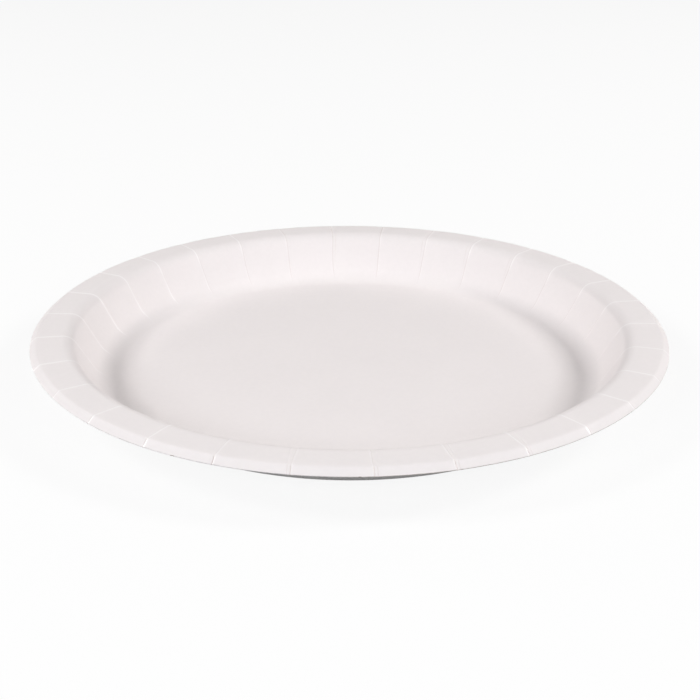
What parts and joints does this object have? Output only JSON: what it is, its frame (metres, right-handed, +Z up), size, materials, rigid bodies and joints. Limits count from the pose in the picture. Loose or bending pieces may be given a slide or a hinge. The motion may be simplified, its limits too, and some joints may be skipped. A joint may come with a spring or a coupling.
{
  "type": "paper plate",
  "caption": "Round disposable plate pressed from one coated paperboard sheet: flat floor, steep pleated wall, level rim flange with its edge turned down.",
  "frame": {"origin": "centre of the underside of the floor, on the plate's axis, at table level", "axes": "+Z up along the plate's axis, out of the dish; -Y towards the viewer of the picture; +X to the viewer's right"},
  "size_m": [0.23, 0.23, 0.0189],
  "materials": {
    "board": "white clay-coated paperboard, semi-matt, very faintly warm"
  },
  "bodies": {
    "root": {"plate": "board"}
  },
  "joints": []
}
